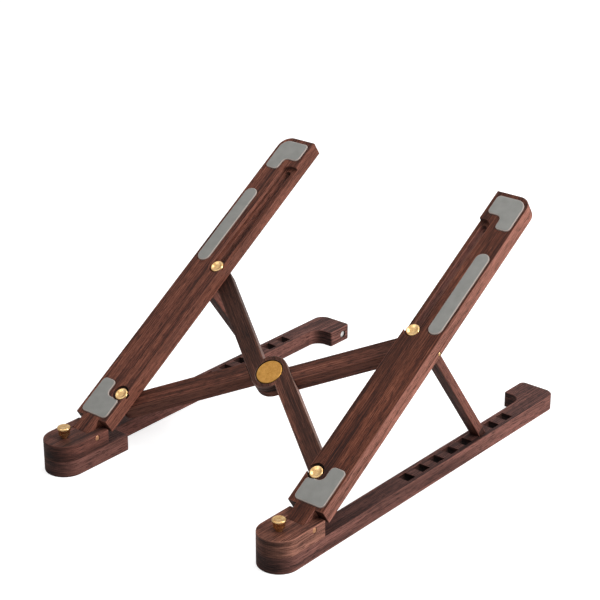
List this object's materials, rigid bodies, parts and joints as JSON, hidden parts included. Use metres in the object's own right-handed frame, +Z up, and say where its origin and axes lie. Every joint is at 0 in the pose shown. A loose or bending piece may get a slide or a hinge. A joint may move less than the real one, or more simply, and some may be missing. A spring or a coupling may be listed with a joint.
{
  "type": "quran stand",
  "caption": "Folding wooden book stand: two arms hinged to slotted base rails, joined by a scissor brace and held up by swinging props.",
  "frame": {"origin": "on the table, midway between the two base rails and midway along them", "axes": "+X to the reader's right, +Y from the front feet to the back of the rails, +Z up"},
  "size_m": [0.19, 0.265, 0.1491],
  "materials": {
    "rail_wood": "oiled, satin",
    "foot_wood": "oiled, satin",
    "arm_wood": "oiled, satin",
    "brace_wood": "oiled, satin",
    "brass": "bright, lightly brushed",
    "silicone": "matt",
    "steel": "bright nickel"
  },
  "bodies": {
    "left_base": {"left_base_rail": "rail_wood", "left_foot_block": "foot_wood", "left_foot_post": "brass", "left_foot_pin": "brass", "left_magnet": "steel"},
    "left_arm": {"left_arm": "arm_wood", "left_upper_pad": "silicone", "left_middle_pad": "silicone", "left_lower_pad": "silicone", "left_lower_screw": "brass", "left_lower_nut": "brass", "left_prop_pin": "brass"},
    "left_prop": {"left_prop": "brace_wood"},
    "right_base": {"right_base_rail": "rail_wood", "right_foot_block": "foot_wood", "right_foot_post": "brass", "right_foot_pin": "brass", "right_magnet": "steel"},
    "right_arm": {"right_arm": "arm_wood", "right_upper_pad": "silicone", "right_middle_pad": "silicone", "right_lower_pad": "silicone", "right_lower_screw": "brass", "right_lower_nut": "brass", "right_prop_pin": "brass"},
    "right_prop": {"right_prop": "brace_wood"},
    "bar_a": {"scissor_bar_a": "brace_wood", "right_upper_screw": "brass", "right_upper_nut": "brass", "hub_pin": "brass", "hub_nut": "brass"},
    "bar_b": {"scissor_bar_b": "brace_wood", "left_upper_screw": "brass", "left_upper_nut": "brass"}
  },
  "joints": [
    {"name": "tilt", "type": "hinge", "parent": "left_base", "child": "left_arm", "pos_m": [-0.0825, -0.1055, 0.0177], "axis": [1, 0, 0], "range_deg": [0, 57]},
    {"name": "close", "type": "hinge", "parent": "left_arm", "child": "bar_a", "pos_m": [-0.075, -0.07944, 0.03449], "axis": [0, -0.5417, 0.8406], "range_deg": [0, 52.4]},
    {"name": "hub_turn", "type": "hinge", "parent": "bar_a", "child": "bar_b", "pos_m": [0, -0.03657, 0.06212], "axis": [0, -0.5417, 0.8406], "range_deg": [-105, 0.2]},
    {"name": "right_arm_turn", "type": "hinge", "parent": "bar_b", "child": "right_arm", "pos_m": [0.075, -0.07944, 0.03449], "axis": [0, -0.5417, 0.8406], "range_deg": [-0.1, 52.5]},
    {"name": "right_tilt", "type": "hinge", "parent": "right_arm", "child": "right_base", "pos_m": [0.0825, -0.1055, 0.0177], "axis": [1, 0, 0], "range_deg": [-57.1, 0.1]},
    {"name": "left_prop_swing", "type": "hinge", "parent": "left_arm", "child": "left_prop", "pos_m": [-0.08875, 0.00462, 0.08182], "axis": [1, 0, 0], "range_deg": [0, 86.8]},
    {"name": "right_prop_swing", "type": "hinge", "parent": "right_arm", "child": "right_prop", "pos_m": [0.08875, 0.00462, 0.08182], "axis": [1, 0, 0], "range_deg": [0, 86.8]}
  ],
  "couplings": [
    {"joint": "hub_turn", "follows": "close", "ratio": -2},
    {"joint": "right_arm_turn", "follows": "close", "ratio": 1},
    {"joint": "right_tilt", "follows": "tilt", "ratio": -1}
  ]
}
